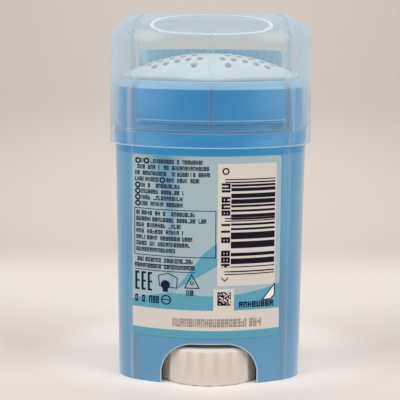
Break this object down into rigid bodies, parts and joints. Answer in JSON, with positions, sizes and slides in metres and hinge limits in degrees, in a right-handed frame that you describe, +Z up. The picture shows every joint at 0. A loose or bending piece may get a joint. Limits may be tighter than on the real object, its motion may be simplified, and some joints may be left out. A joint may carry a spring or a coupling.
{
  "type": "deodorant stick",
  "caption": "Oval cream deodorant stick: blue barrel, clear lift-off cap, perforated head, fluted dial with screw spindle and rising piston.",
  "frame": {"origin": "middle of the foot, on the plane the stick stands on", "axes": "+Z up along the stick, +X along its width, the printed back label faces -Y"},
  "size_m": [0.06, 0.0339, 0.1095],
  "materials": {
    "barrel_blue": "fine satin moulded polypropylene",
    "cap_clear": "clear, faintly blue moulded polypropylene",
    "head_white": "white moulded plastic",
    "dial_white": "warm white moulded plastic",
    "piston_white": "white moulded plastic",
    "cream": null,
    "label_back": "glossy printed film label",
    "label_cap": "glossy printed film label"
  },
  "bodies": {
    "barrel": {"barrel": "barrel_blue", "applicator": "head_white", "back_label": "label_back"},
    "cap": {"cap": "cap_clear", "cap_label": "label_cap"},
    "dial": {"dial": "dial_white"},
    "piston": {"piston": "piston_white", "cream": "cream"}
  },
  "joints": [
    {"name": "cap_lift", "type": "slide", "parent": "barrel", "child": "cap", "axis": [0, 0, 1], "range_m": [0, 0.06]},
    {"name": "dial_turn", "type": "hinge", "parent": "barrel", "child": "dial", "pos_m": [0, 0, 0.006], "axis": [0, 0, -1], "range_deg": [0, 2790]},
    {"name": "piston_rise", "type": "slide", "parent": "barrel", "child": "piston", "axis": [0, 0, 1], "range_m": [0, 0.031], "deforming": ["cream"]}
  ],
  "couplings": [
    {"joint": "dial_turn", "follows": "piston_rise", "rad_per_m": 1570.8}
  ]
}
